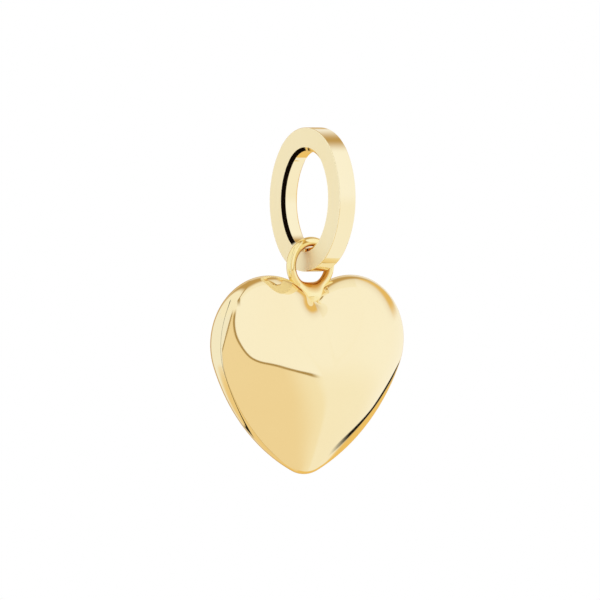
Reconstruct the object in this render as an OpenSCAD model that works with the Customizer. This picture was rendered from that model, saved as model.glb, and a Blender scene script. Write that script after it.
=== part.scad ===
// Puffed heart pendant with a soldered hanging ring and a loose oval link.
// Millimetres, +Z up, front of the heart towards -Y, seen as it hangs.
// The origin is the crest of the link's opening, where a chain bears.

/* [Heart] */
// Distance between the centres of the two round lobes
lobe_span = 5.2; // [5.0:0.1:5.6]
// Radius of each lobe, out to the edge
lobe_r = 3.44; // [3.3:0.02:3.6]
// Radius of the long curve of each flank
side_r = 10.4; // [9.5:0.1:12]
// Radius of the blunt point
tip_r = 1.6; // [1.2:0.1:2.2]
// Depth of the point below the lobe centres
tip_drop = 6.9; // [6.5:0.1:7.4]
// Radius at the bottom of the cleft between the lobes
cleft_r = 0.08; // [0.04:0.01:0.2]
// Radius of the full round edge between front and back
rim_r = 0.65; // [0.5:0.05:0.8]
// Height of the puffed face above the middle plane
dome_h = 2.1; // [1.8:0.05:2.4]
// Depth of the face's summit below the lobe centres
dome_drop = 2.2; // [1.9:0.1:2.5]
// Fullness of the face above the point and below the cleft: 1 is a straight cone
dome_fullness = 2.0; // [1.7:0.05:2.2]
// Fullness that each lobe adds to it
lobe_fullness = 1.6; // [1.0:0.1:2.0]
// Fullness that each flank adds to it
flank_fullness = 0.5; // [0:0.1:0.8]
// How widely the slopes round the summit are blended, in degrees
face_blend = 34; // [20:2:50]
// How much the valley under the cleft is filled, as that slope's extra share of the blend
valley_fill = 90; // [0:10:180]

/* [Hanging ring] */
// Inside diameter of the ring
ring_hole_d = 1.94; // [1.8:0.02:2.2]
// Thickness of the ring's round wire
ring_wire_d = 0.5; // [0.4:0.05:0.6]
// Depth that the ring is filed into the two lobes
ring_seat = 0.17; // [0.1:0.01:0.22]
// Radius of the bead of solder in the cleft
solder_r = 0.55; // [0.5:0.01:0.58]
// Height of the bead's centre above the bottom of the cleft
solder_rise = 0.05; // [0.02:0.01:0.15]

/* [Oval link] */
// Height of the link
link_h = 7.46; // [6.8:0.02:8]
// Width of the link
link_w = 6.2; // [5.8:0.1:6.6]
// How much tighter the link's top and bottom are rounded than half its width
link_taper = 0.3; // [0.15:0.05:0.5]
// Width of the link's bar, seen from the side
link_band = 1.2; // [1.0:0.02:1.3]
// Thickness of the link's bar, along the chain
link_t = 1.03; // [0.85:0.01:1.1]
// Radius of the softened outer edges of the bar
link_edge_r = 0.05; // [0.03:0.01:0.1]
// Width of the bevel round each edge of the opening, across the side face
link_bevel = 0.18; // [0.1:0.01:0.22]
// Running gap between the ring's hole and the bar's two upper bevels
link_play = 0.04; // [0.03:0.01:0.08]

/* [Hidden] */

// Facets of the true curves, and stations along the heart's arcs and slopes
$fn = 96;
cleft_steps = 5;
lobe_steps = 24;
side_steps = 11;
tip_steps = 7;
face_steps = 12;
rim_steps = 7;
edge_steps = 3;
// The rings of the face lie closer together near its summit
face_gather = 1.25;

// Turn from straight up, and reach, of the swelling of a lobe and of a flank
lobe_swell = [42, 55];
flank_swell = [100, 60];
// How the blend of the slopes fades towards the rim, which is sooner in the
// valley under the cleft, and the least width it is reckoned with
blend_fade = 0.7;
valley_fade = 1.5;
valley_swell = [0, 30];
least_blend = 0.5;

// The link's opening and the centres of its end arcs and side arcs
link_mid_z = -(link_h / 2 - link_band);
link_end_r = link_w / 2 - link_taper;
link_end_off = link_h / 2 - link_end_r;
link_side_r = (pow(link_w / 2, 2) + pow(link_end_off, 2) - pow(link_end_r, 2)) / (2 * link_taper);
link_side_off = link_side_r - link_w / 2;
link_turn = atan2(link_end_off, link_side_off);
bar_top_z = link_mid_z - (link_h / 2 - link_band);

// The ring hangs with its hole on both upper bevels of the bar, on whichever
// of their edges it meets first
ring_hole_r = ring_hole_d / 2;
wire_r = ring_wire_d / 2;
ring_mid_r = ring_hole_r + wire_r;
ring_reach = ring_hole_r - link_play;
inner_edge_drop = sqrt(pow(ring_reach, 2) - pow(link_t / 2 - link_bevel, 2));
outer_edge_drop = sqrt(pow(ring_reach, 2) - pow(link_t / 2, 2)) + link_bevel;
ring_z = bar_top_z - min(inner_edge_drop, outer_edge_drop);

// The lobes meet the ring's outside, less the depth of its seat
lobe_x = lobe_span / 2;
lobe_reach = lobe_r + ring_hole_r + ring_wire_d - ring_seat;
lobe_z = ring_z - sqrt(pow(lobe_reach, 2) - pow(lobe_x, 2));
cleft_rise = sqrt(pow(lobe_r + cleft_r, 2) - pow(lobe_x, 2));
cleft_z = lobe_z + cleft_rise - cleft_r;

// Centres of the arcs of the cleft, the right lobe, the blunt point and the
// right flank, seen from the lobes' middle
cleft_mid = [0, cleft_rise];
lobe_mid = [lobe_x, 0];
tip_mid = [0, tip_r - tip_drop];
side_mid = arc_meet(lobe_mid, side_r - lobe_r, tip_mid, side_r - tip_r);
summit = [0, -dome_drop];

// Angles at which each arc of the right half gives way to the next
cleft_end = atan2(-cleft_rise, lobe_x);
lobe_start = cleft_end + 180;
lobe_end = atan2(lobe_mid.y - side_mid.y, lobe_mid.x - side_mid.x);
side_end = atan2(tip_mid.y - side_mid.y, tip_mid.x - side_mid.x);
half_steps = cleft_steps + lobe_steps + side_steps + tip_steps;
loop_steps = 2 * half_steps;

// Crossing, nearer the heart's middle, of the circles about a and b
function arc_meet(a, ra, b, rb) =
    let (d = norm(b - a), u = (b - a) / d, along = (ra * ra - rb * rb + d * d) / (2 * d))
    a + along * u + sqrt(ra * ra - along * along) * [u.y, -u.x];

function mix(a, b, t) = a + (b - a) * t;
function on_arc(mid, r, angle) = mid + r * [cos(angle), sin(angle)];

// The arcs of the right half, from the cleft to the point: centre, radius,
// start and end angles, steps, and 1 for a round bulging out or -1 for a hollow
ARCS = [
    [cleft_mid, cleft_r, -90, cleft_end, cleft_steps, -1],
    [lobe_mid, lobe_r, lobe_start, lobe_end, lobe_steps, 1],
    [side_mid, side_r, lobe_end, side_end, side_steps, 1],
    [tip_mid, tip_r, side_end, -90, tip_steps, 1]
];

// The arc that holds station i of the right half, and how far along it lies
function arc_at(i, n = 0) = i <= ARCS[n][4] || n == 3 ? [n, i / ARCS[n][4]] : arc_at(i - ARCS[n][4], n + 1);

// Outline at station i, drawn in by the distance in, and its outward normal
function heart_point(i, in) =
    let (at = arc_at(i), arc = ARCS[at[0]])
    on_arc(arc[0], arc[1] - arc[5] * in, mix(arc[2], arc[3], at[1]));
function heart_normal(i) =
    let (at = arc_at(i), arc = ARCS[at[0]])
    on_arc([0, 0], arc[5], mix(arc[2], arc[3], at[1]));

// Length of the slope from the summit to the rim, taken square to the outline
function slope_run(i, in) = (heart_point(i, in) - summit) * heart_normal(i);

// How far station i is turned from straight up, seen from the summit
function turn_of(from_summit) = atan2(from_summit.x, from_summit.y);
function swelling(turn, swell) =
    let (off = min(abs(turn - swell[0]) / swell[1], 1))
    (1 + cos(180 * off)) / 2;
function fullness(i) =
    let (turn = turn_of(heart_point(i, rim_r / 2) - summit))
    dome_fullness + lobe_fullness * swelling(turn, lobe_swell) + flank_fullness * swelling(turn, flank_swell);

// Angle round the rim at which the face leaves it, and the face's power there,
// so that the slope runs on into the rim with no step
function rim_start(i) = atan(fullness(i) * (dome_h - rim_r) / slope_run(i, rim_r / 2));
function rim_in(a) = rim_r * (1 - sin(a));
function face_power(i) =
    let (a = rim_start(i))
    tan(a) * slope_run(i, rim_in(a)) / (dome_h - rim_r * cos(a));

// The slopes from the summit to the stations of the right half, and then to
// all stations round the heart: turn, length, fall and power of each
RIGHT_SLOPES = [
    for (i = [0 : half_steps])
        let (a = rim_start(i), run = heart_point(i, rim_in(a)) - summit)
        [turn_of(run), norm(run), dome_h - rim_r * cos(a), face_power(i)]
];
LEFT_SLOPES = [
    for (i = [half_steps - 1 : -1 : 1])
        let (slope = RIGHT_SLOPES[i])
        [360 - slope[0], slope[1], slope[2], slope[3]]
];
SLOPES = concat(RIGHT_SLOPES, LEFT_SLOPES);

// Half the angle between the neighbours of each slope, its share of the turn
SHARES = [
    for (j = [0 : loop_steps - 1])
        let (step = SLOPES[(j + 1) % loop_steps][0] - SLOPES[(j + loop_steps - 1) % loop_steps][0])
        (step < 0 ? step + 360 : step) / 2
];

// The slope to station i blended with its neighbours, a share s of the way out
function blended_slope(i, s) =
    let (turn = SLOPES[i][0], fade = mix(blend_fade, valley_fade, swelling(turn, valley_swell)))
    let (width = max(face_blend * pow(1 - s, fade), least_blend), fill = valley_fill * sqrt(1 - s))
    let (weights = [
        for (j = [0 : loop_steps - 1])
            let (apart = abs(SLOPES[j][0] - turn), off = min(apart, 360 - apart) / width)
            exp(-off * off / 2) * (SHARES[j] + (j == 0 ? fill : 0))
    ])
    weights * SLOPES / (weights * [for (share = SHARES) 1]);

// Point of the front quarter, at station i and ring k, counted from the summit
function face_point(i, k) =
    let (s = pow(k / face_steps, face_gather), slope = blended_slope(i, s), turn = SLOPES[i][0])
    let (out = s * slope[1])
    [summit.x + out * sin(turn), dome_h - slope[2] * pow(s, slope[3]), summit.y + out * cos(turn)];

function rim_point(i, k) =
    let (a = mix(rim_start(i), 90, k / rim_steps), at = heart_point(i, rim_in(a)))
    [at.x, rim_r * cos(a), at.y];

ring_steps = face_steps + rim_steps;
shell_rings = 2 * ring_steps - 1;
QUARTER = [
    for (k = [1 : ring_steps])
        [for (i = [0 : half_steps]) k < face_steps ? face_point(i, k) : rim_point(i, k - face_steps)]
];

// The same points right round the heart
function flip_x(p) = [-p.x, p.y, p.z];
function shell_point(j, k) =
    j <= half_steps ? QUARTER[k - 1][j] : flip_x(QUARTER[k - 1][loop_steps - j]);

// Rings of points from the front summit, over the rim, to the back summit
module heart() {
    loops = [
        for (k = [1 : shell_rings])
            let (front = k <= ring_steps, depth = front ? k : 2 * ring_steps - k)
            for (j = [0 : loop_steps - 1])
                let (p = shell_point(j, depth))
                [p.x, front ? -p.y : p.y, p.z + lobe_z]
    ];
    front_peak = [0, -dome_h, lobe_z - dome_drop];
    back_peak = [0, dome_h, lobe_z - dome_drop];
    last = len(loops);
    bands = [
        for (k = [0 : shell_rings - 2])
            for (j = [0 : loop_steps - 1])
                let (a = k * loop_steps + j, b = k * loop_steps + (j + 1) % loop_steps)
                each [[a, b + loop_steps, b], [a, a + loop_steps, b + loop_steps]]
    ];
    front_cap = [for (j = [0 : loop_steps - 1]) [last, j, (j + 1) % loop_steps]];
    base = (shell_rings - 1) * loop_steps;
    back_cap = [for (j = [0 : loop_steps - 1]) [last + 1, base + (j + 1) % loop_steps, base + j]];
    color("gold")
        polyhedron(concat(loops, [front_peak, back_peak]), concat(bands, front_cap, back_cap));
}

// The round edges of the two lobes, where the ring and its solder meet them
module lobe_edges() {
    for (side = [-1, 1])
        translate([side * lobe_x, 0, lobe_z])
            rotate([90, 0, 0]) {
                rotate_extrude() translate([lobe_r - rim_r, 0]) circle(rim_r);
                cylinder(h = 2 * rim_r, r = lobe_r - rim_r, center = true);
            }
}

module hanging_ring() {
    color("gold")
        difference() {
            union() {
                translate([0, 0, ring_z])
                    rotate([90, 0, 0])
                        rotate_extrude() translate([ring_mid_r, 0]) circle(wire_r);
                translate([0, 0, cleft_z + solder_rise]) sphere(solder_r);
            }
            lobe_edges();
        }
}

// Section of the link's bar on an arc whose outside has the radius r: two
// softened corners outside, two bevels towards the opening
module bar_section(r) {
    w = link_band / 2;
    h = link_t / 2;
    outer_top = [w - link_edge_r, h - link_edge_r];
    outer_foot = [w - link_edge_r, link_edge_r - h];
    translate([r - w, 0])
        polygon(concat(
            [for (i = [0 : edge_steps]) on_arc(outer_top, link_edge_r, 90 * i / edge_steps)],
            [[link_bevel - w, h], [-w, h - link_bevel], [-w, link_bevel - h], [link_bevel - w, -h]],
            [for (i = [0 : edge_steps]) on_arc(outer_foot, link_edge_r, 270 + 90 * i / edge_steps)]
        ));
}

module bar_arc(across, up, r, turn, middle) {
    translate([0, across, link_mid_z + up])
        rotate([90, 0, 90])
            rotate_extrude(angle = 2 * turn, start = middle - turn)
                bar_section(r);
}

// The link's front half, from the middle of its top to the middle of its foot
module bail_half() {
    end_turn = (90 - link_turn) / 2;
    bar_arc(-link_side_off, 0, link_side_r, link_turn, 0);
    for (side = [-1, 1])
        bar_arc(0, side * link_end_off, link_end_r, end_turn, side * (90 - end_turn));
}

module bail() {
    color("gold")
        for (back = [0, 1])
            mirror([0, back, 0]) bail_half();
}

heart();
hanging_ring();
bail();
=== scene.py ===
import math

import bpy
import numpy as np
from mathutils import Matrix, Vector


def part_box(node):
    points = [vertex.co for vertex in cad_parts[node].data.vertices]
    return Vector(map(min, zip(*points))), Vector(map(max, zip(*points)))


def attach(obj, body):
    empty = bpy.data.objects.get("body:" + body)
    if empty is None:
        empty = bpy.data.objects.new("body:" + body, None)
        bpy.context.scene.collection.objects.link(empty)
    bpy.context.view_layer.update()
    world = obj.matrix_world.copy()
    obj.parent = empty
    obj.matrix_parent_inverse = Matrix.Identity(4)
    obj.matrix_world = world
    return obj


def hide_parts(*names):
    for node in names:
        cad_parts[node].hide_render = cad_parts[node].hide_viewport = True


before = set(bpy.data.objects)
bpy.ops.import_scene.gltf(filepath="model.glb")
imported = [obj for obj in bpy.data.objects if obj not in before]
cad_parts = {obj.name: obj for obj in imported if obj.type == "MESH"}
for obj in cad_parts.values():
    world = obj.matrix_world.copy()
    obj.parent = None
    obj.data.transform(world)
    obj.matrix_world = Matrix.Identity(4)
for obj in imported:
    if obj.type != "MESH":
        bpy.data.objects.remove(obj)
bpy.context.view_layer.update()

# Lengths below are in millimetres, as in the part, and become metres in the meshes.
MM = 0.001

# The heart's form
LOBE_X = 2.6
LOBE_R = 3.44
SIDE_R = 10.4
TIP_R = 1.6
TIP_DROP = 6.9
CLEFT_R = 0.08
RIM_R = 0.65
DOME_H = 2.1
DOME_DROP = 2.2
# How full the dome is under the cleft and the point, and what the lobes and the
# sides add to it: the amount, and the middle and reach of each swelling in radians
DOME_FULLNESS = 2.0
LOBE_SWELL = (1.6, math.radians(42), math.radians(55))
SIDE_SWELL = (0.5, math.radians(100), math.radians(60))
# How widely, in radians, the slopes of the face are averaged at the summit, and how
# fast that fades towards the rim: a little faster near the cleft
FACE_BLUR = math.radians(34)
BLUR_FADE = 0.7
CLEFT_FADE = 0.75
CLEFT_REACH = math.radians(30)
LEAST_BLUR = 0.0005
# Extra share that the spoke at the cleft gets at the summit, which fills the valley
VALLEY_FILL = math.radians(90)
# Least angle between two spokes
LEAST_TURN = math.radians(0.1)
# Stations along the arcs of the right half, and rings over the face and the rim
CLEFT_STEPS = 26
LOBE_STEPS = 110
SIDE_STEPS = 46
TIP_STEPS = 34
FACE_STEPS = 58
RIM_STEPS = 20
# The rings of the face lie closer together near its summit
FACE_GATHER = 1.25

# The hanging ring and its solder: height of the solder's middle above the cleft,
# its half sizes, and the reach of the fillet between it and the wire
RING_HOLE_R = 0.97
RING_WIRE_R = 0.25
RING_MID_R = RING_HOLE_R + RING_WIRE_R
SOLDER_RISE = 0.08
SOLDER_HALF = np.array([0.95, 0.52, 0.62])
SOLDER_FILLET = 0.35
# Cell of the grid on which the ring is meshed, the room that it leaves round the
# ring, and its depth below the cleft
NET_STEP = 0.034
NET_PAD = 0.08
NET_DEPTH = 0.9

# The oval link
LINK_TAPER = 0.3
LINK_BAND = 1.2
LINK_EDGE_R = 0.05
LINK_BEVEL = 0.18
BEVEL_EDGE_R = 0.012
EDGE_STEPS = 6
BEVEL_STEPS = 4
LINK_SIDE_STEPS = 56
LINK_END_STEPS = 72


def box_mm(node):
    """Lowest and highest corner of a CAD part, in millimetres."""
    low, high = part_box(node)
    return np.array(low) / MM, np.array(high) / MM


def top_mm(node):
    return box_mm(node)[1][2]


LOBE_Z = top_mm("heart") - LOBE_R
RING_TOP = top_mm("hanging_ring")
RING_Z = RING_TOP - RING_MID_R - RING_WIRE_R
CLEFT_RISE = math.sqrt((LOBE_R + CLEFT_R) ** 2 - LOBE_X**2)
CLEFT_Z = LOBE_Z + CLEFT_RISE - CLEFT_R


def mesh_object(name, points, faces, normals=None):
    """A smooth-shaded mesh from points in millimetres."""
    mesh = bpy.data.meshes.new(name)
    mesh.from_pydata((np.asarray(points) * MM).tolist(), [], faces)
    mesh.validate()
    mesh.polygons.foreach_set("use_smooth", [True] * len(mesh.polygons))
    if normals is not None:
        mesh.normals_split_custom_set_from_vertices(np.asarray(normals).tolist())
    mesh.update()
    piece = bpy.data.objects.new(name, mesh)
    bpy.context.scene.collection.objects.link(piece)
    return piece


# Heart

def arc_meet(a, ra, b, rb):
    """The crossing, nearer the heart's middle, of the circles about a and b."""
    d = np.linalg.norm(b - a)
    u = (b - a) / d
    along = (ra * ra - rb * rb + d * d) / (2 * d)
    off = math.sqrt(ra * ra - along * along)
    return a + along * u + off * np.array([u[1], -u[0]])


def right_half():
    """Stations of the right half of the outline: arc centre, radius, normal and
    the sense of the arc, 1 for a round bulging out and -1 for a hollow."""
    cleft_mid = np.array([0, CLEFT_RISE])
    lobe_mid = np.array([LOBE_X, 0])
    tip_mid = np.array([0, TIP_R - TIP_DROP])
    side_mid = arc_meet(lobe_mid, SIDE_R - LOBE_R, tip_mid, SIDE_R - TIP_R)
    cleft_end = math.atan2(-CLEFT_RISE, LOBE_X)
    lobe_end = math.atan2(*(lobe_mid - side_mid)[::-1])
    side_end = math.atan2(*(tip_mid - side_mid)[::-1])
    arcs = [
        (cleft_mid, CLEFT_R, -math.pi / 2, cleft_end, CLEFT_STEPS, -1),
        (lobe_mid, LOBE_R, cleft_end + math.pi, lobe_end, LOBE_STEPS, 1),
        (side_mid, SIDE_R, lobe_end, side_end, SIDE_STEPS, 1),
        (tip_mid, TIP_R, side_end, -math.pi / 2, TIP_STEPS, 1),
    ]
    rows = []
    for mid, r, start, end, steps, sense in arcs:
        first = 0 if not rows else 1
        for i in range(first, steps + 1):
            angle = start + (end - start) * i / steps
            rows.append((*mid, r, math.cos(angle), math.sin(angle), sense))
    return np.array(rows)


def swelling(turn, middle, reach):
    """1 at the middle, falling smoothly to 0 at the reach."""
    off = np.minimum(np.abs(turn - middle) / reach, 1)
    return (1 + np.cos(math.pi * off)) / 2


def short_way(angle):
    """The same angle between half a turn back and half a turn on."""
    return (angle + math.pi) % (2 * math.pi) - math.pi


def blurred(turn, values, width, fill):
    """Values at the spokes of the right half, each averaged over the spokes of
    the whole heart with a bell of its own width in radians. The first spoke,
    at the cleft, counts for the angle fill more than its share."""
    round_turn = np.concatenate([turn, 2 * math.pi - turn[-2:0:-1]])
    round_values = np.concatenate([values, values[-2:0:-1]])
    share = np.maximum(short_way(np.roll(round_turn, -1) - np.roll(round_turn, 1)) / 2, 0)
    share[0] += fill
    off = short_way(turn[:, None] - round_turn) / np.maximum(width, LEAST_BLUR)[:, None]
    weight = np.exp(-0.5 * off**2) * share
    return weight @ round_values / weight.sum(axis=1, keepdims=True)


class Stations:
    """The right half's outline at its stations, and how the face meets the rim."""

    def __init__(self, half):
        self.mid, self.r, self.way, self.sense = half[:, 0:2], half[:, 2], half[:, 3:5], half[:, 5]
        self.summit = np.array([0, -DOME_DROP])
        middle_of_rim = np.full(len(half), RIM_R / 2)
        fullness = DOME_FULLNESS
        for extra, middle, reach in (LOBE_SWELL, SIDE_SWELL):
            fullness = fullness + extra * swelling(self.turn(middle_of_rim), middle, reach)
        rise = fullness * (DOME_H - RIM_R)
        self.start = np.arctan(rise / self.slope_run(middle_of_rim))
        self.inset = self.inset_at(self.start)

    def inset_at(self, angle):
        """How far in from the edge a point lies at the angle round the rim."""
        return RIM_R * (1 - np.sin(angle))

    def outline(self, inset):
        return self.mid + (self.r - self.sense * inset)[:, None] * self.way

    def turn(self, inset):
        way_out = self.outline(inset) - self.summit
        return np.arctan2(way_out[:, 0], way_out[:, 1])

    def slope_run(self, inset):
        """Length of each slope, taken square to the outline."""
        normal = self.way * self.sense[:, None]
        return ((self.outline(inset) - self.summit) * normal).sum(axis=1)


def turning_on(half):
    """The stations without those in the cleft whose spokes turn back or crowd."""
    stations = Stations(half)
    turn = stations.turn(stations.inset)
    later = np.minimum.accumulate(turn[::-1])[::-1]
    keep = np.append(turn[:-1] + LEAST_TURN < later[1:], True)
    return half[keep]


def brought_forward(at, depth):
    """Points of the heart's middle plane moved towards the front by the depth."""
    return np.stack([at[:, 0], -depth, at[:, 1]], axis=1)


def face_rings(stations):
    """Rings over the right half of the face, from its summit to the rim."""
    turn = stations.turn(stations.inset)
    spoke = stations.outline(stations.inset) - stations.summit
    length = np.linalg.norm(spoke, axis=1)
    fall = DOME_H - RIM_R * np.cos(stations.start)
    power = np.tan(stations.start) * stations.slope_run(stations.inset) / fall
    slopes = np.stack([length, fall, power], axis=1)
    fade = BLUR_FADE + (CLEFT_FADE - BLUR_FADE) * swelling(turn, 0, CLEFT_REACH)
    rings = []
    for k in range(1, FACE_STEPS + 1):
        s = (k / FACE_STEPS) ** FACE_GATHER
        left = 1 - s
        reach, drop, bend = blurred(turn, slopes, FACE_BLUR * left**fade, VALLEY_FILL * left**0.5).T
        at = stations.summit + (s * reach / length)[:, None] * spoke
        rings.append(brought_forward(at, DOME_H - drop * s**bend))
    return rings


def rim_rings(stations):
    """Rings round the right half of the rim, from the face to the middle plane."""
    rings = []
    for k in range(1, RIM_STEPS + 1):
        a = stations.start + (math.pi / 2 - stations.start) * k / RIM_STEPS
        at = stations.outline(stations.inset_at(a))
        rings.append(brought_forward(at, RIM_R * np.cos(a)))
    return rings


def heart_loops():
    """Closed rings of points, from the front summit over the rim to the back."""
    stations = Stations(turning_on(right_half()))
    right = np.array(face_rings(stations) + rim_rings(stations))
    left = right[:, -2:0:-1] * np.array([-1, 1, 1])
    front = np.concatenate([right, left], axis=1)
    back = front[-2::-1] * np.array([1, -1, 1])
    return np.concatenate([front, back])


def loft_faces(rings, count):
    """Quads between the rings of count points each, and a fan round each of the
    two peaks, whose points follow those of the rings."""
    faces = []
    for k in range(rings - 1):
        for j in range(count):
            a = k * count + j
            b = k * count + (j + 1) % count
            faces.append((a, b, b + count, a + count))
    front_peak = rings * count
    back_ring = front_peak - count
    for j in range(count):
        after = (j + 1) % count
        faces.append((front_peak, after, j))
        faces.append((front_peak + 1, back_ring + j, back_ring + after))
    return faces


def make_heart():
    loops = heart_loops()
    peaks = np.array([[0, -DOME_H, -DOME_DROP], [0, DOME_H, -DOME_DROP]])
    points = np.concatenate([loops.reshape(-1, 3), peaks]) + np.array([0, 0, LOBE_Z])
    heart = mesh_object("puffed_heart", points, loft_faces(*loops.shape[:2]))
    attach(heart, "pendant")
    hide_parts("heart")
    return heart


# Ring and solder

def smooth_min(a, b, k):
    h = np.maximum(k - np.abs(a - b), 0) / k
    return np.minimum(a, b) - h * h * k / 4


def ring_field(p):
    """Below zero inside the ring and the tongue of solder that fills the cleft
    under it. The tongue runs into both lobes, so they cut it to a V."""
    x, y, z = p[..., 0], p[..., 1], p[..., 2]
    wire = np.hypot(np.hypot(x, z - RING_Z) - RING_MID_R, y) - RING_WIRE_R
    out = (p - np.array([0, 0, CLEFT_Z + SOLDER_RISE])) / SOLDER_HALF
    size = np.linalg.norm(out, axis=-1)
    tongue = size * (size - 1) / np.maximum(np.linalg.norm(out / SOLDER_HALF, axis=-1), 1e-6)
    return smooth_min(wire, tongue, SOLDER_FILLET)


def cell_edges():
    """The twelve edges of a grid cell, each as the corners at its two ends."""
    corners = [(i, j, k) for i in (0, 1) for j in (0, 1) for k in (0, 1)]
    return [(a, b) for a in corners for b in corners
            if sum(b) - sum(a) == 1 and all(b[i] >= a[i] for i in range(3))]


def cell_points(grid, value):
    """A point in each grid cell that the zero surface crosses, the middle of its
    crossings with the cell's edges, and the number of the point of each cell."""
    cells = tuple(n - 1 for n in value.shape)
    total = np.zeros(cells + (3,))
    count = np.zeros(cells)

    def corner(data, c):
        return data[c[0] : c[0] + cells[0], c[1] : c[1] + cells[1], c[2] : c[2] + cells[2]]

    for a, b in cell_edges():
        va, vb = corner(value, a), corner(value, b)
        cut = (va < 0) != (vb < 0)
        t = np.where(cut, va / np.where(cut, va - vb, 1), 0)
        at = corner(grid, a) + t[..., None] * (corner(grid, b) - corner(grid, a))
        total += np.where(cut[..., None], at, 0)
        count += cut
    used = count > 0
    index = np.full(cells, -1)
    index[used] = np.arange(used.sum())
    return total[used] / count[used][:, None], index


def cells_round(index, at, u, v):
    """The points of the four cells round each grid edge, in turn."""
    corners = []
    for du, dv in ((-1, -1), (0, -1), (0, 0), (-1, 0)):
        cell = at.copy()
        cell[:, u] += du
        cell[:, v] += dv
        corners.append(index[tuple(cell.T)])
    return np.stack(corners, axis=1)


def net_faces(inside, index):
    """A quad across each grid edge that the surface cuts, facing outward."""
    faces = []
    for axis in range(3):
        u, v = (axis + 1) % 3, (axis + 2) % 3
        near = [slice(1, -1)] * 3
        near[axis] = slice(0, -1)
        far = list(near)
        far[axis] = slice(1, None)
        first, second = inside[tuple(near)], inside[tuple(far)]
        for flip, cut in ((False, first & ~second), (True, ~first & second)):
            at = np.argwhere(cut)
            at[:, u] += 1
            at[:, v] += 1
            quads = cells_round(index, at, u, v)
            faces += (quads[:, ::-1] if flip else quads).tolist()
    return faces


def drawn_onto(field, points):
    """The points moved onto the field's zero surface in a few steps."""
    rounds, reach, least_steepness = 4, 1e-4, 0.2
    for _ in range(rounds):
        value = field(points)
        slope = np.stack([(field(points + reach * e) - value) / reach for e in np.eye(3)], axis=1)
        steepness = np.maximum((slope**2).sum(axis=1, keepdims=True), least_steepness)
        points = points - slope * value[:, None] / steepness
    return points


def surface_net(field, low, high, step):
    """Points and quads on the zero surface of a field."""
    axes = [np.arange(low[i], high[i] + step, step) for i in range(3)]
    grid = np.stack(np.meshgrid(*axes, indexing="ij"), axis=-1)
    value = field(grid)
    points, index = cell_points(grid, value)
    return drawn_onto(field, points), net_faces(value < 0, index)


def make_ring():
    ring_r = RING_MID_R + RING_WIRE_R
    low = np.array([-ring_r, -RIM_R, CLEFT_Z - NET_DEPTH]) - NET_PAD
    high = np.array([ring_r, RIM_R, RING_TOP]) + NET_PAD
    points, faces = surface_net(ring_field, low, high, NET_STEP)
    ring = mesh_object("ring_and_solder", points, faces)
    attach(ring, "pendant")
    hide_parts("hanging_ring")
    return ring


# Oval link

def round_corner(corner, before, after, r, steps):
    """Points and normals of a corner rounded to the radius r, between the unit
    normals of the side before it and the side after it."""
    cos_turn = before @ after
    reach = r * math.sqrt((1 - cos_turn) / (1 + cos_turn))
    along = np.array([-before[1], before[0]])
    mid = corner - reach * along - r * before
    start = math.atan2(before[1], before[0])
    turn = math.acos(cos_turn)
    out = []
    for i in range(steps + 1):
        a = start + turn * i / steps
        n = np.array([math.cos(a), math.sin(a)])
        out.append((*(mid + r * n), *n))
    return out


def bar_section(thick):
    """Section of the bar, as offsets outward from its middle line and along X,
    with its normals: softened corners outside, two bevels towards the opening."""
    w, h, b = LINK_BAND / 2, thick / 2, LINK_BEVEL
    slant = math.sqrt(0.5)
    out, top, inner, foot = (np.array(v, float) for v in ((1, 0), (0, 1), (-1, 0), (0, -1)))
    high_bevel, low_bevel = np.array([-slant, slant]), np.array([-slant, -slant])
    corners = [
        ((w, h), out, top, LINK_EDGE_R, EDGE_STEPS),
        ((b - w, h), top, high_bevel, BEVEL_EDGE_R, BEVEL_STEPS),
        ((-w, h - b), high_bevel, inner, BEVEL_EDGE_R, BEVEL_STEPS),
        ((-w, b - h), inner, low_bevel, BEVEL_EDGE_R, BEVEL_STEPS),
        ((b - w, -h), low_bevel, foot, BEVEL_EDGE_R, BEVEL_STEPS),
        ((w, -h), foot, out, LINK_EDGE_R, EDGE_STEPS),
    ]
    rows = []
    for corner, before, after, r, steps in corners:
        rows += round_corner(np.array(corner), before, after, r, steps)
    return np.array(rows)


def link_path(width, height):
    """Middle line of the four-centred oval: centre, radius and angle of each
    station, in the plane of the link."""
    end_r = width / 2 - LINK_TAPER
    end_off = height / 2 - end_r
    side_r = ((width / 2) ** 2 + end_off**2 - end_r**2) / (2 * LINK_TAPER)
    side_off = side_r - width / 2
    turn = math.atan2(end_off, side_off)
    arcs = [
        (-side_off, 0, side_r, -turn, turn, LINK_SIDE_STEPS),
        (0, end_off, end_r, turn, math.pi - turn, LINK_END_STEPS),
        (side_off, 0, side_r, math.pi - turn, math.pi + turn, LINK_SIDE_STEPS),
        (0, -end_off, end_r, math.pi + turn, 2 * math.pi - turn, LINK_END_STEPS),
    ]
    rows = []
    for across, up, r, start, end, steps in arcs:
        for i in range(steps):
            rows.append((across, up, r - LINK_BAND / 2, start + (end - start) * i / steps))
    return np.array(rows)


def bar_along(path, section, mid_z):
    """Points and normals of the section swept along the path, station by station."""
    across, up, r, angle = (path[:, i : i + 1] for i in range(4))
    cos, sin = np.cos(angle), np.sin(angle)
    reach = r + section[:, 0]
    level = np.zeros_like(reach)
    points = np.stack([level + section[:, 1], across + reach * cos, up + reach * sin + mid_z], axis=-1)
    normals = np.stack([level + section[:, 3], section[:, 2] * cos, section[:, 2] * sin], axis=-1)
    return points, normals


def closed_sweep_faces(stations, count):
    """Quads between the sections of count points each, round a closed path."""
    faces = []
    for i in range(stations):
        here = i * count
        ahead = (i + 1) % stations * count
        for j in range(count):
            k = (j + 1) % count
            faces.append((here + j, ahead + j, ahead + k, here + k))
    return faces


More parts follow.
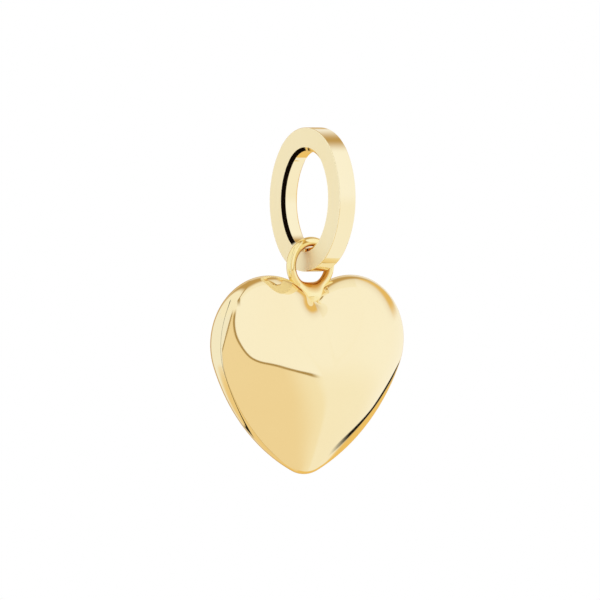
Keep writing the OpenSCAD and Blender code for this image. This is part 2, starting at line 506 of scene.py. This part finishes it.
def make_link():
    low, high = box_mm("bail")
    thick, width, height = high - low
    mid_z = (high[2] + low[2]) / 2
    points, normals = bar_along(link_path(width, height), bar_section(thick), mid_z)
    faces = closed_sweep_faces(*points.shape[:2])
    link = mesh_object("oval_link", points.reshape(-1, 3), faces, normals.reshape(-1, 3))
    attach(link, "link")
    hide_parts("bail")
    return link


# Nodes

class Nodes:
    """Short ways to add nodes to a tree and link them."""

    def __init__(self, tree):
        self.tree = tree

    def add(self, kind, **settings):
        node = self.tree.nodes.new("ShaderNode" + kind)
        for key, value in settings.items():
            setattr(node, key, value)
        return node

    def plug(self, socket, value):
        """Links another node's output to the socket, or sets the socket's value."""
        if isinstance(value, bpy.types.NodeSocket):
            self.tree.links.new(value, socket)
        else:
            socket.default_value = value

    def math(self, operation, *values):
        node = self.add("Math", operation=operation)
        for socket, value in zip(node.inputs, values):
            self.plug(socket, value)
        return node.outputs[0]

    def vector(self, operation, *values):
        node = self.add("VectorMath", operation=operation)
        for socket, value in zip(node.inputs, values):
            self.plug(socket, value)
        return node.outputs["Vector"]

    def dot(self, a, b):
        node = self.add("VectorMath", operation="DOT_PRODUCT")
        self.plug(node.inputs[0], a)
        self.plug(node.inputs[1], b)
        return node.outputs["Value"]

    def ramp(self, value, start, end, low=0.0, high=1.0, shape="LINEAR"):
        """Low up to start, high from end on, and a slope of the shape between."""
        node = self.add("MapRange", interpolation_type=shape)
        self.plug(node.inputs["Value"], value)
        node.inputs["From Min"].default_value = start
        node.inputs["From Max"].default_value = end
        node.inputs["To Min"].default_value = low
        node.inputs["To Max"].default_value = high
        return node.outputs["Result"]

    def mix(self, amount, a, b, kind="FLOAT"):
        """From a to b as the amount goes from 0 to 1."""
        node = self.add("Mix", data_type=kind)
        self.plug(node.inputs["Factor"], amount)
        self.plug(node.inputs["A"], a)
        self.plug(node.inputs["B"], b)
        return node.outputs["Result"]

    def noise(self, coords, size_mm, detail, stretch=(1, 1, 1)):
        """Noise with grains of the size, held to the object."""
        mapping = self.add("Mapping")
        self.plug(mapping.inputs["Vector"], coords)
        mapping.inputs["Scale"].default_value = stretch
        texture = self.add("TexNoise")
        self.plug(texture.inputs["Vector"], mapping.outputs["Vector"])
        texture.inputs["Scale"].default_value = 1 / (size_mm * MM)
        texture.inputs["Detail"].default_value = detail
        return texture.outputs["Fac"]

    def spread(self, noise, low, high):
        """Noise spread over the range from low to high."""
        return self.ramp(noise, 0.3, 0.7, low, high)


# Materials

# Each gold: two tones of the alloy and the size of the drift between them, the
# strength of the waves that polishing leaves, and the range of the gloss. The flat
# gloss is that of the faces square to X.
HEART_GOLD = dict(light=(0.955, 0.85, 0.57), deep=(0.95, 0.83, 0.54), drift_mm=5, wave=0.5,
                  gloss=(0.03, 0.05))
RING_GOLD = dict(light=(0.97, 0.86, 0.50), deep=(0.96, 0.82, 0.42), drift_mm=0.8, wave=0.3,
                 gloss=(0.03, 0.06))
LINK_GOLD = dict(light=(0.965, 0.875, 0.62), deep=(0.96, 0.86, 0.59), drift_mm=4, wave=0.2,
                 gloss=(0.008, 0.02), flat_gloss=(0.52, 0.57))
# Painted reflection and shade: an amber tone on the side of the ring that faces its hole, standing for
# the repeated reflections between the gold surfaces there
INSIDE_PAINTED_REFLECTION = (0.66, 0.32, 0.06)

# Hairlines run along Z
HAIRLINE_MM = 0.25
HAIRLINE_STRETCH = (1, 1, 0.08)
WAVE_MM = 2.2
WAVE_DEPTH_MM = 0.02


def polished_gold(name, light, deep, drift_mm, wave, gloss, flat_gloss=None):
    """Mirror-polished gold: a slow drift between two tones of the alloy, the
    faint waves that hand polishing leaves, and hairlines in the gloss."""
    material = bpy.data.materials.new(name)
    material.use_nodes = True
    nodes = Nodes(material.node_tree)
    shader = nodes.tree.nodes["Principled BSDF"]
    shader.inputs["Metallic"].default_value = 1.0
    coords = nodes.add("TexCoord")
    place = coords.outputs["Object"]

    drift = nodes.spread(nodes.noise(place, drift_mm, 2), 0.0, 1.0)
    nodes.plug(shader.inputs["Base Color"], nodes.mix(drift, (*light, 1), (*deep, 1), "RGBA"))

    hairlines = nodes.noise(place, HAIRLINE_MM, 3, HAIRLINE_STRETCH)
    roughness = nodes.spread(hairlines, *gloss)
    if flat_gloss:
        flat = facing_x(nodes, coords.outputs["Normal"])
        roughness = nodes.mix(flat, roughness, nodes.spread(hairlines, *flat_gloss))
    nodes.plug(shader.inputs["Roughness"], roughness)

    bump = nodes.add("Bump")
    bump.inputs["Strength"].default_value = wave
    bump.inputs["Distance"].default_value = WAVE_DEPTH_MM * MM
    nodes.plug(bump.inputs["Height"], nodes.noise(place, WAVE_MM, 1))
    nodes.plug(shader.inputs["Normal"], bump.outputs["Normal"])
    return material


def facing_x(nodes, normal):
    """1 on the faces square to X and 0 elsewhere."""
    split = nodes.add("SeparateXYZ")
    nodes.plug(split.inputs[0], normal)
    return nodes.ramp(nodes.math("ABSOLUTE", split.outputs["X"]), 0.9, 0.98)


def paint_inside_reflection(material):
    """Lays a painted reflection on the side of the ring that faces its hole: a deeper amber tone
    standing for the repeated reflections and shade between the gold surfaces there."""
    nodes = Nodes(material.node_tree)
    base = nodes.tree.nodes["Principled BSDF"].inputs["Base Color"]
    coords = nodes.add("TexCoord")
    from_middle = nodes.vector("SUBTRACT", coords.outputs["Object"], (0, 0, RING_Z * MM))
    inward = nodes.vector("NORMALIZE", nodes.vector("MULTIPLY", from_middle, (-1, 0, -1)))
    facing_hole = nodes.ramp(nodes.dot(inward, coords.outputs["Normal"]), 0.15, 0.55)
    # Painted reflection and shade: the amber tone on the side that faces the hole
    tone = nodes.mix(facing_hole, base.links[0].from_socket, (*INSIDE_PAINTED_REFLECTION, 1), "RGBA")
    nodes.plug(base, tone)
    return material


def dress(piece, material):
    piece.data.materials.clear()
    piece.data.materials.append(material)


# Studio

def direction(azimuth, elevation):
    """Unit vector: azimuth 0 is towards -Y, the heart's front, and 90 towards +X."""
    a, e = math.radians(azimuth), math.radians(elevation)
    return (math.cos(e) * math.sin(a), -math.cos(e) * math.cos(a), math.sin(e))


# Where the camera stands, as seen from the pendant, and how it is tilted
VIEW_AZIMUTH = -36.0
VIEW_ELEVATION = 3.44
VIEW_ROLL = 1.8
VIEW_DISTANCE = 300.0
TO_CAMERA = direction(VIEW_AZIMUTH, VIEW_ELEVATION)
PIXELS_PER_MM = 19.3
FRAME_PIXELS = 600
SENSOR_MM = 36.0
# Where the middle of the heart's lobes lies in the photograph
LOBE_PIXEL = (307.9, 341.4)

# Colours that the polished gold mirrors
WHITE = (1.0, 1.0, 1.0)
LEFT_WHITE = (0.94, 0.94, 0.92)
HIGH_WHITE = (0.97, 0.95, 0.88)
TABLE_GOLD = (0.90, 0.76, 0.52)
TABLE_PALE = (0.95, 0.88, 0.72)
TABLE_WHITE = (0.97, 0.94, 0.86)
LOW_GOLD = (0.88, 0.68, 0.36)
ROOM_GOLD = (0.88, 0.60, 0.20)
EDGE_BROWN = (0.42, 0.28, 0.10)
CEILING_BROWN = (0.55, 0.36, 0.14)
CEILING_EDGE = (0.82, 0.56, 0.20)
BACKDROP_BROWN = (0.62, 0.42, 0.18)
FLAG_BLACK = (0.005, 0.003, 0.002)

# Edges of what stands in the studio. Each is a circle of directions: the way to
# its middle, and how far along that way its directions reach. What it bounds lies
# on the side towards the middle.
TABLE_LEFT = ((0.914, -0.293, -0.282), -0.305)
TABLE_BACK = ((0.707, -0.707, 0), -0.22)
CARD_SIDE = ((0.391, -0.898, 0.203), 0.659)
CARD_FOOT = ((-0.243, 0.074, 0.967), -0.223)
CEILING_SIDE = ((0.94, -0.342, 0), 0.0)
ROOM_FRONT = ((0, 1, 0), 0.1)
ROOM_FOOT = ((-0.439, 0.619, -0.650), 0.0)
# The ways along which the card, the ceiling and the backdrop fade
CARD_FADE = (0.318, 0.311, 1)
CEILING_DEPTH = (0.3, -1.0, 0.0)
CEILING_FADE = (0.6, 0.8, 0)
BACKDROP_MIDDLE = direction(162, -3)
# How softly the edges of the table, the card and the room meet in their corners
TABLE_CORNER = 0.1
CARD_CORNER = 0.2
ROOM_CORNER = 0.1

FLOOR_COLOUR = (0.9, 0.88, 0.84)
FLOOR_R = 60
FLOOR_Z = -330
FLOOR_SIDES = 96


class World(Nodes):
    """The world's nodes, the ways up, right and back, and the colour so far."""

    def __init__(self, world):
        world.use_nodes = True
        super().__init__(world.node_tree)
        self.tree.nodes.clear()
        self.way = self.add("TexCoord").outputs["Generated"]
        self.up = self.along((0, 0, 1))
        self.right = self.along((1, 0, 0))
        self.back = self.along((0, 1, 0))
        self.colour = (*LEFT_WHITE, 1)

    def along(self, vector):
        """How far the direction looked in reaches along a vector."""
        return self.dot(self.way, vector)

    def past(self, edge):
        """More than 0 on the inner side of an edge, and less outside."""
        middle, reach = edge
        return self.math("SUBTRACT", self.along(middle), reach)

    def rise(self, value, low, high):
        """0 at low, 1 at high and smooth between; low may be the greater."""
        if low > high:
            return self.ramp(value, high, low, 1.0, 0.0, "SMOOTHSTEP")
        return self.ramp(value, low, high, 0.0, 1.0, "SMOOTHSTEP")

    def band(self, value, middle, half, soft):
        """1 within half of the middle, fading out over soft."""
        off = self.math("ABSOLUTE", self.math("SUBTRACT", value, middle))
        return self.rise(off, half + soft, half)

    def line(self, edge):
        """1 on a thin line where the edge is 0."""
        return self.band(edge, 0.0, 0.006, 0.012)

    def times(self, first, *others):
        for value in others:
            first = self.math("MULTIPLY", first, value)
        return first

    def opposite(self, value):
        return self.math("SUBTRACT", 1.0, value)

    def smooth_least(self, a, b, width):
        return self.math("SMOOTH_MIN", a, b, width)

    def paint(self, colour, amount):
        """Lays a colour over what is painted so far, as far as amount says."""
        self.colour = self.mix(amount, self.colour, (*colour, 1), "RGBA")


def paint_table(w):
    """A golden table below the front, paler to the right, with a thin brown edge
    on the left. Low down all round it is gold too."""
    edge = w.smooth_least(w.past(TABLE_LEFT), w.past(TABLE_BACK), TABLE_CORNER)
    on_table = w.rise(edge, -0.01, 0.01)
    low_down = w.rise(w.up, -0.5, -0.75)
    paler = w.rise(w.right, 0.1, 0.55)
    palest = w.rise(w.right, 0.5, 0.587)
    on_left = w.rise(w.right, 0.1, -0.1)
    w.paint(LOW_GOLD, low_down)
    w.paint(TABLE_GOLD, on_table)
    w.paint(TABLE_PALE, w.times(on_table, paler))
    w.paint(TABLE_WHITE, w.times(on_table, palest))
    w.paint(EDGE_BROWN, w.times(w.line(edge), on_left))


def paint_card(w):
    """The big white card in front, with a round left side and a brown frame. On
    the right it fades into the table, and on top it joins a white ceiling, which
    ends at a brown line."""
    card = w.smooth_least(w.past(CARD_SIDE), w.past(CARD_FOOT), CARD_CORNER)
    far_right = w.rise(w.right, 0.56, 0.585)
    not_right = w.rise(w.right, 0.57, 0.5)
    high = w.rise(w.up, 0.45, 0.6)
    higher = w.rise(w.up, 0.6, 0.75)
    faded = w.rise(w.along(CARD_FADE), -0.2, 0.1)
    ceiling_line = w.band(w.past(CEILING_SIDE), 0.0, 0.015, 0.03)
    w.paint(HIGH_WHITE, high)
    w.paint(WHITE, w.times(w.rise(card, 0.0, 0.01), w.opposite(far_right)))
    w.paint(WHITE, w.times(faded, far_right))
    w.paint(EDGE_BROWN, w.times(w.line(card), not_right, w.opposite(high)))
    w.paint(EDGE_BROWN, w.times(ceiling_line, higher))


def paint_ceiling(w):
    """The brown ceiling beyond the card's upper edge, brighter at the right end of
    its front edge."""
    beyond = w.math("SUBTRACT", 0.3, w.along(CEILING_DEPTH))
    above = w.rise(w.up, 0.1, 0.3)
    not_left = w.rise(w.right, -0.25, -0.05)
    not_far = w.rise(w.along(CEILING_FADE), 1.0, 0.5)
    on_right = w.rise(w.right, 0.6, 0.7)
    w.paint(CEILING_BROWN, w.times(w.rise(beyond, -0.2, 0.3), above, not_left, not_far))
    w.paint(CEILING_EDGE, w.times(w.band(beyond, 0.1, 0.05, 0.1), above, on_right))


def paint_room(w):
    """The gold room behind on the right, with a dark line along its foot."""
    foot = w.past(ROOM_FOOT)
    room = w.smooth_least(foot, w.past(ROOM_FRONT), ROOM_CORNER)
    on_right = w.rise(w.right, 0.1, 0.3)
    further_right = w.rise(w.right, 0.3, 0.5)
    below = w.rise(w.up, -0.1, -0.2)
    not_low = w.rise(w.up, -0.56, -0.46)
    w.paint(ROOM_GOLD, w.times(w.rise(room, 0.0, 0.03), on_right))
    w.paint(FLAG_BLACK, w.times(w.band(foot, 0.0, 0.012, 0.015), further_right, below, not_low))


def paint_flag(w):
    """A narrow black flag on the left, curved so that the bevel at the left of the
    link's opening mirrors the whole of it."""
    towards = w.math("POWER", w.math("SUBTRACT", w.right, -TO_CAMERA[0]), 2.0)
    off = w.math("SUBTRACT", w.math("SUBTRACT", towards, 1.0), w.along(TO_CAMERA))
    on_left = w.rise(w.right, 0.1, -0.1)
    high_back = w.times(w.rise(w.up, 0.2, 0.3), w.rise(w.back, 0.15, 0.3))
    w.paint(FLAG_BLACK, w.times(w.band(off, 0.0, 0.025, 0.02), on_left, w.opposite(high_back)))


def make_world():
    """A white studio with a golden table, a brown ceiling, a backdrop and a black
    flag, as the polished gold mirrors them. The camera itself sees plain white."""
    world = bpy.data.worlds.new("studio")
    bpy.context.scene.world = world
    w = World(world)
    paint_table(w)
    paint_card(w)
    paint_ceiling(w)
    paint_room(w)
    paint_flag(w)
    w.paint(BACKDROP_BROWN, w.rise(w.along(BACKDROP_MIDDLE), 0.78, 0.95))
    w.paint(WHITE, w.add("LightPath").outputs["Is Camera Ray"])
    background = w.add("Background")
    w.plug(background.inputs["Color"], w.colour)
    out = w.add("OutputWorld")
    w.plug(out.inputs["Surface"], background.outputs[0])


def floor_material():
    """Plain and pale to all but glossy rays. To these it glows with the golden table's colour, a
    painted reflection that the polished gold mirrors in the table's place.
    """
    material = bpy.data.materials.new("pale_floor")
    material.use_nodes = True
    nodes = Nodes(material.node_tree)
    shader = nodes.tree.nodes["Principled BSDF"]
    shader.inputs["Base Color"].default_value = (*FLOOR_COLOUR, 1)
    shader.inputs["Roughness"].default_value = 0.9
    # Painted reflection: a glow in the table's gold, seen only by glossy rays
    glow = nodes.add("Emission")
    glow.inputs["Color"].default_value = (*TABLE_GOLD, 1)
    mix = nodes.add("MixShader")
    nodes.plug(mix.inputs[0], nodes.add("LightPath").outputs["Is Glossy Ray"])
    nodes.plug(mix.inputs[1], shader.outputs[0])
    nodes.plug(mix.inputs[2], glow.outputs[0])
    nodes.plug(nodes.tree.nodes["Material Output"].inputs["Surface"], mix.outputs[0])
    return material


def make_floor():
    """A round floor, well below the hanging pendant."""
    turns = [i * math.tau / FLOOR_SIDES for i in range(FLOOR_SIDES)]
    points = [(FLOOR_R * math.cos(a), FLOOR_R * math.sin(a), FLOOR_Z) for a in turns]
    floor = mesh_object("floor", points, [tuple(range(FLOOR_SIDES))])
    dress(floor, floor_material())


def make_camera():
    data = bpy.data.cameras.new("camera")
    data.sensor_width = SENSOR_MM
    data.lens = PIXELS_PER_MM * VIEW_DISTANCE * SENSOR_MM / FRAME_PIXELS
    data.clip_start = 0.01
    camera = bpy.data.objects.new("camera", data)
    bpy.context.scene.collection.objects.link(camera)
    back = Vector(TO_CAMERA)
    level_right = Vector((0, 0, 1)).cross(back).normalized()
    level_up = back.cross(level_right)
    roll = math.radians(VIEW_ROLL)
    right = math.cos(roll) * level_right + math.sin(roll) * level_up
    up = math.cos(roll) * level_up - math.sin(roll) * level_right
    off_right = (FRAME_PIXELS / 2 - LOBE_PIXEL[0]) / PIXELS_PER_MM
    off_up = (LOBE_PIXEL[1] - FRAME_PIXELS / 2) / PIXELS_PER_MM
    aim = Vector((0, 0, LOBE_Z)) + off_right * right + off_up * up
    place = (aim + VIEW_DISTANCE * back) * MM
    turn = Matrix((right, up, back)).transposed()
    camera.matrix_world = Matrix.Translation(place) @ turn.to_4x4()
    bpy.context.scene.camera = camera


# Assembly

dress(make_heart(), polished_gold("heart_gold", **HEART_GOLD))
# The ring's gold carries a painted amber reflection on the side that faces its hole
dress(make_ring(), paint_inside_reflection(polished_gold("ring_gold", **RING_GOLD)))
dress(make_link(), polished_gold("bail_gold", **LINK_GOLD))

make_world()
make_floor()
make_camera()
bpy.context.scene.view_settings.view_transform = "Standard"
